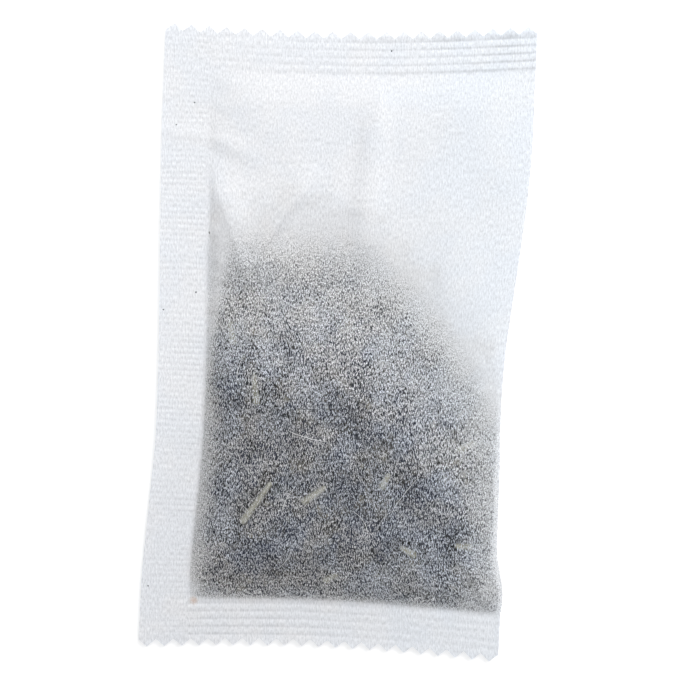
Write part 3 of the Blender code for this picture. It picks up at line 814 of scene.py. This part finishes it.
def leaf_finish(name, dark, light, tinted=True):
    """Dry broken leaf, mottled between two colours and tinted in patches."""
    f = Finish(name)
    mottle = f.noise(f.place(), 900, 3.0, 0.6)
    veins = f.noise(f.place(0.4, (1, 0.3, 1)), 4200, 2.0, 0.5)
    shade = f.fit(f.math("ADD", mottle, f.math("MULTIPLY", veins, 0.4)), 0.45, 0.95)
    colour = f.mix_colour(shade, (*dark, 1), (*light, 1))
    patch = f.fit(f.noise(f.place(), 260, 1.0), 0.38, 0.62)
    tint = f.mix_colour(patch, (0.86, 0.96, 1.18, 1), (1.07, 1.02, 0.96, 1))
    colour = f.mix_colour(float(tinted), colour, tint, "MULTIPLY")
    bump = f.add("ShaderNodeBump", Strength=0.6, Distance=0.0001, Height=veins)
    leaf = f.add("ShaderNodeBsdfPrincipled", Base_Color=colour, Roughness=0.8,
                 Normal=bump.outputs["Normal"])
    return f.surface(leaf.outputs[0])


def add_piece(name, mesh, material, replaced=()):
    """A finished piece from its mesh: it rides on the bag and takes the finish given."""
    data = bpy.data.meshes.new(name)
    mesh.to_mesh(data)
    mesh.free()
    piece = bpy.data.objects.new(name, data)
    bpy.context.scene.collection.objects.link(piece)
    data.materials.append(material)
    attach(piece, "root")
    if replaced:
        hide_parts(*replaced)
    return piece


# Loose fibres on the front, with the place (u, v) where the pale one starts, and the crumbs on
# the seals, with their places in millimetres from the middle of the flat bag
LOOSE_FIBRES = 45
FIBRE_STEPS = 12
PALE_FIBRE = (19.2 * MM, 30.6 * MM)
CRUMB_CORNERS = 6
CRUMB_RADIUS = (0.08, 0.16)
SPECKS = ((-24.4, 3.4), (-20.0, 5.9), (-24.0, -34.6), (-20.6, 32.1), (5.6, 40.3), (-23.0, 28.9))

# The flakes of leaf that show through the paper
FLAKE_THICKNESS = 0.08 * MM
FLAKE_MARGIN = 0.06 * MM
FLAKE_SIDE_GAP = 0.15 * MM
FLAKE_TILT = 0.30

# How far into the bend of the fold the leaf reaches, and the dust's shares along the side
# seal and along the fold. The rest lies along the bottom seal
BEND_REACH = BAG_WIDTH + 0.25 * MM
DUST_AT_SIDE = 0.36
DUST_AT_FOLD = 0.24

STALK_SPACE = 0.62 * MM
PATCH_SIZE = 5 * MM

# The stalks of the frame: their number, the duller one, the marks along each and how far round
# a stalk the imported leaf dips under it
STALK_COUNT = 9
DULL_STALK = 4
STALK_MARKS = 12
STALK_DIP = 1.3 * MM

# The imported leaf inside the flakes: its cells, how far it keeps from the paper above and
# below, and its lumps
MASS_CELLS = (84, 104)
MASS_ROOF_GAP = 0.85 * MM
MASS_FLOOR_GAP = 0.45 * MM
MASS_LUMP = 0.22 * MM
MASS_LUMP_SIZE = 1.1 * MM


def stalk_spots():
    """Places along each stalk of the frame."""
    spots = []
    for number in range(1, STALK_COUNT + 1):
        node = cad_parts[f"tea_stalk_{number}"]
        points = [node.matrix_world @ vertex.co for vertex in node.data.vertices]
        start = min(points, key=lambda point: (point.x, point.y))
        end = max(points, key=lambda point: (point - start).length)
        spots.append([start.lerp(end, share) for share in spread(0, 1, STALK_MARKS)])
    return spots


STALK_SPOTS = stalk_spots()


def tea_roof(u, v):
    """The underside of the front layer."""
    inside = min(u, FOLD_INSIDE)
    return underside(u, v) + PAPER + opening(inside, v) + wrinkles(u, v) - (u - inside)


def tea_floor(u, v):
    """The inside of the back layer."""
    return underside(u, v) + PAPER + max(u - FOLD_INSIDE, 0)


def leaf_mass():
    """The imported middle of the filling, a lumpy dark body inside the flakes."""
    mesh = bmesh.new()
    columns = spread(TEA_LEFT, TEA_RIGHT - 0.4 * MM, MASS_CELLS[0])
    tops, feet = [], []
    for row in range(MASS_CELLS[1] + 1):
        t = row / MASS_CELLS[1]
        top_row, foot_row = [], []
        for u in columns:
            v = TEA_FOOT + t * (tea_line(u) - 2 * MM - TEA_FOOT)
            x, y = place(u, v)
            roof, floor = tea_roof(u, v) - MASS_ROOF_GAP, tea_floor(u, v) + MASS_FLOOR_GAP
            roof += MASS_LUMP * noise.noise(Vector((x, y, 0)) / MASS_LUMP_SIZE)
            near = [spot.z for stalk in STALK_SPOTS for spot in stalk
                    if abs(spot.x - x) < STALK_DIP and abs(spot.y - y) < STALK_DIP]
            roof = max(min([roof] + [z - STALK_DIP / 2 for z in near]), floor + 0.05 * MM)
            top_row.append(mesh.verts.new((x, y, roof)))
            foot_row.append(mesh.verts.new((x, y, floor)))
        tops.append(top_row)
        feet.append(foot_row)
    rows, width = len(tops), len(columns)
    for j in range(rows - 1):
        for i in range(width - 1):
            mesh.faces.new((tops[j][i], tops[j][i + 1], tops[j + 1][i + 1], tops[j + 1][i]))
            mesh.faces.new((feet[j][i], feet[j + 1][i], feet[j + 1][i + 1], feet[j][i + 1]))
    ring = [(0, i) for i in range(width - 1)] + [(j, width - 1) for j in range(rows - 1)]
    ring += [(rows - 1, i) for i in range(width - 1, 0, -1)]
    ring += [(j, 0) for j in range(rows - 1, 0, -1)]
    for (j, i), (n, m) in zip(ring, ring[1:] + ring[:1]):
        mesh.faces.new((feet[j][i], feet[n][m], tops[n][m], tops[j][i]))
    return mesh


def flake(mesh, rng, centre, size, tilt):
    """One torn flake of leaf, a thin plate with a ragged outline that stays in the pocket."""
    corners = rng.randint(5, 7)
    stretch = rng.uniform(0.35, 0.95)
    turn = Matrix.Rotation(rng.uniform(-tilt, tilt), 3, "X")
    turn = turn @ Matrix.Rotation(rng.uniform(-tilt, tilt), 3, "Y")
    turn = turn @ Matrix.Rotation(rng.uniform(0, 2 * math.pi), 3, "Z")
    ring = []
    for i in range(corners):
        angle = 2 * math.pi * (i + rng.uniform(-0.25, 0.25)) / corners
        reach = size * rng.uniform(0.65, 1.0) / 2
        ring.append(Vector((math.cos(angle) * reach, math.sin(angle) * reach * stretch, 0)))
    half = FLAKE_THICKNESS / 2

    def vertex(offset, rise):
        u, v, z = centre + turn @ offset
        low, high = tea_floor(u, v) + FLAKE_MARGIN, tea_roof(u, v) - FLAKE_MARGIN
        z = max(min(z, high - half), low + half)
        return mesh.verts.new((*place(u, v), z + rise))

    top = [vertex(spot, half) for spot in ring]
    foot = [vertex(spot, -half) for spot in ring]
    crown = vertex(Vector(), half)
    cup = vertex(Vector(), -half)
    for i in range(corners):
        j = (i + 1) % corners
        mesh.faces.new((top[i], top[j], crown))
        mesh.faces.new((foot[j], foot[i], cup))
        mesh.faces.new((foot[i], foot[j], top[j], top[i]))


def over_stalk(u, v, reach):
    """Whether a flake there would hide a stalk from above."""
    spot = Vector(place(u, v))
    return any((spot - along.xy).length < reach for stalk in STALK_SPOTS for along in stalk)


def edge_dust(seed, count, size, reach):
    """Fine leaf that has run into the pocket's corners, along two seals and the fold."""
    rng = random.Random(seed)
    mesh = bmesh.new()
    made = 0
    while made < count:
        in_from = 0.2 * MM + abs(rng.gauss(0, reach))
        edge = rng.random()
        if edge < DUST_AT_SIDE:
            u, v = SIDE_SEAL + in_from, rng.uniform(POCKET_FOOT, 1.2 * HAZE_SLANT_START)
        elif edge < DUST_AT_SIDE + DUST_AT_FOLD:
            u, v = BEND_REACH - in_from, rng.uniform(POCKET_FOOT, HAZE_SLANT_START)
        else:
            u, v = rng.uniform(SIDE_SEAL, BAG_WIDTH - 0.6 * MM), POCKET_FOOT + in_from
        roof, floor = tea_roof(u, v), tea_floor(u, v)
        narrow = roof - floor < 2 * FLAKE_MARGIN + FLAKE_THICKNESS + max(u + size - FOLD_INSIDE, 0)
        if not narrow and min(u - SIDE_SEAL, v - POCKET_FOOT) > size / 2:
            z = rng.uniform(floor, roof)
            flake(mesh, rng, Vector((u, v, z)), size * rng.uniform(0.6, 1.2), FLAKE_TILT)
            made += 1
    return mesh


def flakes(seed, count, size, near_front, past_line, sort):
    """Flakes close to one layer of the paper. Sorts 1 and -1 keep to patches, 0 doesn't."""
    rng = random.Random(seed)
    mesh = bmesh.new()
    made = 0
    while made < count:
        length = size * rng.uniform(0.5, 1.4)
        left = SIDE_SEAL + FLAKE_SIDE_GAP + length / 2
        foot = POCKET_FOOT + 0.2 * MM + length / 2
        u = rng.uniform(left, BEND_REACH - length / 2)
        v = rng.uniform(foot, TEA_LEVEL + past_line)
        if u + length / 2 > FOLD_INSIDE + opening(FOLD_INSIDE, v) / 2 - FLAKE_SIDE_GAP:
            continue
        if v - tea_line(u) > past_line * rng.random() ** 2:
            continue
        if near_front and over_stalk(u, v, length / 2 + STALK_SPACE):
            continue
        patch = noise.noise(Vector((u, v, 7)) / PATCH_SIZE)
        if patch * sort < 0.5 * rng.random() - 0.45:
            continue
        roof, floor = tea_roof(u, v), tea_floor(u, v)
        room = roof - floor - 2 * FLAKE_MARGIN - FLAKE_THICKNESS
        if room < 0:
            continue
        made += 1
        depth = FLAKE_MARGIN + FLAKE_THICKNESS / 2 + min(rng.random() * 0.6 * MM, room / 2)
        z = roof - depth if near_front else floor + depth
        flake(mesh, rng, Vector((u, v, z)), length, FLAKE_TILT)
    return mesh


def paper_top(u, v):
    """The outer face of the front layer."""
    return underside(u, v) + seal_ribs(u, v) + 2 * PAPER + opening(u, v) + wrinkles(u, v)


def hair(mesh, spots, radius):
    """A loose fibre: a thin tube of four sides along places (u, v) on the front."""
    rings = []
    for number, (u, v) in enumerate(spots):
        x, y = place(u, v)
        before, after = spots[max(number - 1, 0)], spots[min(number + 1, len(spots) - 1)]
        side = Vector((before[1] - after[1], after[0] - before[0])).normalized()
        thick = radius * (0.4 + 0.6 * math.sin(math.pi * (number + 0.6) / (len(spots) + 0.2)))
        z = paper_top(u, v) + thick * 0.6
        middle = Vector((x, y, z))
        corners = ((side.x, side.y, 0), (0, 0, 1), (-side.x, -side.y, 0), (0, 0, -1))
        rings.append([mesh.verts.new(middle + thick * Vector(corner)) for corner in corners])
    for here, there in zip(rings, rings[1:]):
        for i in range(4):
            j = (i + 1) % 4
            mesh.faces.new((here[i], here[j], there[j], there[i]))
    mesh.faces.new(rings[0][::-1])
    mesh.faces.new(rings[-1])


def curl(start, heading, bend, length):
    """Places along a fibre that starts at a place and bends steadily."""
    spots = [Vector(start)]
    step = length / FIBRE_STEPS
    for number in range(FIBRE_STEPS):
        turn = heading + bend * number / FIBRE_STEPS
        spots.append(spots[-1] + step * Vector((math.cos(turn), math.sin(turn))))
    return [tuple(spot) for spot in spots]


def loose_fibres():
    """The long fibres that stand out on the front, one pale and thick, the others fine."""
    rng = random.Random(11)
    mesh = bmesh.new()
    hair(mesh, curl(PALE_FIBRE, -0.36, 0.30, 6.0 * MM), 0.040 * MM)
    while len(mesh.verts) < 4 * (FIBRE_STEPS + 1) * LOOSE_FIBRES:
        start = rng.uniform(SIDE_SEAL, BAG_WIDTH), rng.uniform(POCKET_FOOT, POCKET_HEAD)
        heading = math.pi / 2 + rng.gauss(0, 0.7)
        spots = curl(start, heading, rng.uniform(-1.4, 1.4), rng.uniform(2, 6) * MM)
        if all(min(u - SIDE_SEAL, BAG_WIDTH - u, v - POCKET_FOOT, POCKET_HEAD - v) > MM
               for u, v in spots):
            hair(mesh, spots, rng.uniform(0.016, 0.030) * MM)
    bmesh.ops.recalc_face_normals(mesh, faces=mesh.faces)
    return mesh


def specks():
    """Crumbs of leaf caught on the seals."""
    rng = random.Random(12)
    mesh = bmesh.new()
    for x, y in SPECKS:
        u, v = x * MM + BAG_WIDTH / 2, y * MM + BAG_LENGTH / 2
        centre = Vector((*place(u, v), paper_top(u, v)))
        corners = [Vector((math.cos(a), math.sin(a), 0)) for a in range(CRUMB_CORNERS)]
        crumb = [centre + corner * rng.uniform(*CRUMB_RADIUS) * MM for corner in corners]
        ring = [mesh.verts.new(corner) for corner in crumb]
        crown = mesh.verts.new(centre + Vector((0, 0, 0.08 * MM)))
        cup = mesh.verts.new(centre - Vector((0, 0, 0.03 * MM)))
        for i in range(CRUMB_CORNERS):
            mesh.faces.new((ring[i - 1], ring[i], crown))
            mesh.faces.new((ring[i], ring[i - 1], cup))
    return mesh


def fibre_white():
    """A clean white fibre, a little brighter than the sheet."""
    f = Finish("fibre_white")
    tone = f.mix_colour(f.noise(f.place(), 700, 1.0), (0.80, 0.82, 0.84, 1), (0.88, 0.88, 0.88, 1))
    fibre = f.add("ShaderNodeBsdfPrincipled", Base_Color=tone, Roughness=0.6)
    return f.surface(fibre.outputs[0])


# The room: its lamp's side, power and place, the sky's strength on the bag, the white that the
# table adds to the picture alone, and the rays that see the room as the camera does
WINDOW_SIZE = 0.24
WINDOW_POWER = 0.80
WINDOW_SPOT = (0.105, 0.16, 0.26)
ROOM_LIGHT = 0.50
TABLE_LIFT = 0.50
OTHER_RAYS = ("Is Glossy Ray", "Is Transmission Ray")


def studio():
    """A white table and surround, an even sky and a soft lamp from the upper right."""
    scene = bpy.context.scene
    scene.view_settings.view_transform = "Standard"
    world = bpy.data.worlds.new("soft_room")
    world.use_nodes = True
    scene.world = world
    nodes, links = world.node_tree.nodes, world.node_tree.links
    path = nodes.new("ShaderNodeLightPath")
    seen = path.outputs["Is Camera Ray"]
    for ray in OTHER_RAYS:
        either = nodes.new("ShaderNodeMath")
        either.operation = "MAXIMUM"
        links.new(seen, either.inputs[0])
        links.new(path.outputs[ray], either.inputs[1])
        seen = either.outputs[0]
    strength = nodes.new("ShaderNodeMapRange")
    strength.inputs["To Min"].default_value = ROOM_LIGHT
    strength.inputs["To Max"].default_value = 1.0
    links.new(seen, strength.inputs["Value"])
    background = nodes["Background"]
    background.inputs["Color"].default_value = (1, 1, 1, 1)
    links.new(strength.outputs["Result"], background.inputs["Strength"])

    data = bpy.data.lights.new("window", "AREA")
    data.size = WINDOW_SIZE
    data.energy = WINDOW_POWER
    lamp = bpy.data.objects.new("window", data)
    lamp.location = WINDOW_SPOT
    lamp.rotation_euler = Vector(WINDOW_SPOT).to_track_quat("Z", "Y").to_euler()
    scene.collection.objects.link(lamp)

    f = Finish("table_white")
    lit = f.add("ShaderNodeBsdfDiffuse", Color=(0.86, 0.86, 0.86, 1))
    path = f.add("ShaderNodeLightPath")
    seen = path.outputs["Is Camera Ray"]
    for ray in OTHER_RAYS:
        seen = f.math("MAXIMUM", seen, path.outputs[ray])
    seen = f.math("MULTIPLY", seen, TABLE_LIFT)
    lift = f.add("ShaderNodeEmission", Color=(1, 1, 1, 1), Strength=seen)
    both = f.add("ShaderNodeAddShader", in0=lit.outputs[0], in1=lift.outputs[0])
    finish = f.surface(both.outputs[0])
    bpy.ops.object.select_all(action="DESELECT")
    bpy.ops.mesh.primitive_plane_add(size=6, location=(0, 0, -0.00002))
    floor = bpy.context.object
    floor.name = "table"
    floor.data.materials.append(finish)


def camera():
    """Straight above, framed as the photograph is, with the bag leaning a little."""
    data = bpy.data.cameras.new("camera")
    data.lens = LENS
    data.sensor_width = SENSOR
    data.clip_start = 0.01
    view = bpy.data.objects.new("camera", data)
    bpy.context.scene.collection.objects.link(view)
    right = (PHOTO_SIDE / 2 - BAG_MIDDLE_PIXEL[0]) / PIXELS_PER_MM * MM
    up = (BAG_MIDDLE_PIXEL[1] - PHOTO_SIDE / 2) / PIXELS_PER_MM * MM
    middle = Matrix.Rotation(BAG_LEAN, 3, "Z") @ Vector((right, up, 0))
    across = PHOTO_SIDE / PIXELS_PER_MM * MM
    view.location = (middle.x, middle.y, across * LENS / SENSOR)
    view.rotation_euler = (0, 0, BAG_LEAN)
    bpy.context.scene.camera = view


camera()
studio()

stands_for = ["filter_paper_pouch"]
paper = add_piece("paper_sheet", paper_mesh(), filter_paper(), stands_for)
paper.data.materials.append(paper_inside())
paper.data.shade_smooth()
paper.data.set_sharp_from_angle(angle=math.radians(60))

core = leaf_finish("leaf_core", (0.012, 0.013, 0.014), (0.05, 0.05, 0.045))
mass = add_piece("leaf_mass", leaf_mass(), core, ["tea_fill"])
mass.data.shade_smooth()
black = leaf_finish("leaf_black", (0.010, 0.012, 0.018), (0.036, 0.041, 0.055))
brown = leaf_finish("leaf_brown", (0.036, 0.037, 0.037), (0.11, 0.11, 0.105))
khaki = leaf_finish("leaf_khaki", (0.10, 0.10, 0.088), (0.19, 0.187, 0.160))

# The leaf: the finish, the seed, the count and the size (mm) of each piece, whether it lies
# under the front, how far it runs past the filling's line (mm) and its sort of patch
LEAF = {
    "black_flakes": (black, 1, 2900, 1.7, True, 5, 1),
    "brown_flakes": (brown, 2, 1500, 1.5, True, 7, -1),
    "khaki_flakes": (khaki, 3, 220, 1.3, True, 2, -1),
    "leaf_dust": (brown, 8, 2600, 0.45, True, 9, 0),
    "black_flakes_below": (black, 4, 1700, 1.8, False, 5, 0),
    "brown_flakes_below": (brown, 5, 700, 1.6, False, 7, 0),
}
for name, (finish, seed, count, size, near_front, past_line, sort) in LEAF.items():
    pieces = flakes(seed, count, size * MM, near_front, past_line * MM, sort)
    add_piece(name, pieces, finish)
add_piece("edge_dust", edge_dust(9, 2600, 0.4 * MM, 0.8 * MM), black)
add_piece("loose_fibres", loose_fibres(), fibre_white())
add_piece("seal_crumbs", specks(), black)

stalk = leaf_finish("stalk_pale", (0.25, 0.25, 0.20), (0.42, 0.415, 0.34), False)
stalk_dull = leaf_finish("stalk_khaki", (0.17, 0.17, 0.13), (0.29, 0.285, 0.22), False)
for number in range(1, STALK_COUNT + 1):
    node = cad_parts[f"tea_stalk_{number}"]
    for slot in node.material_slots:
        slot.material = stalk_dull if number == DULL_STALK else stalk
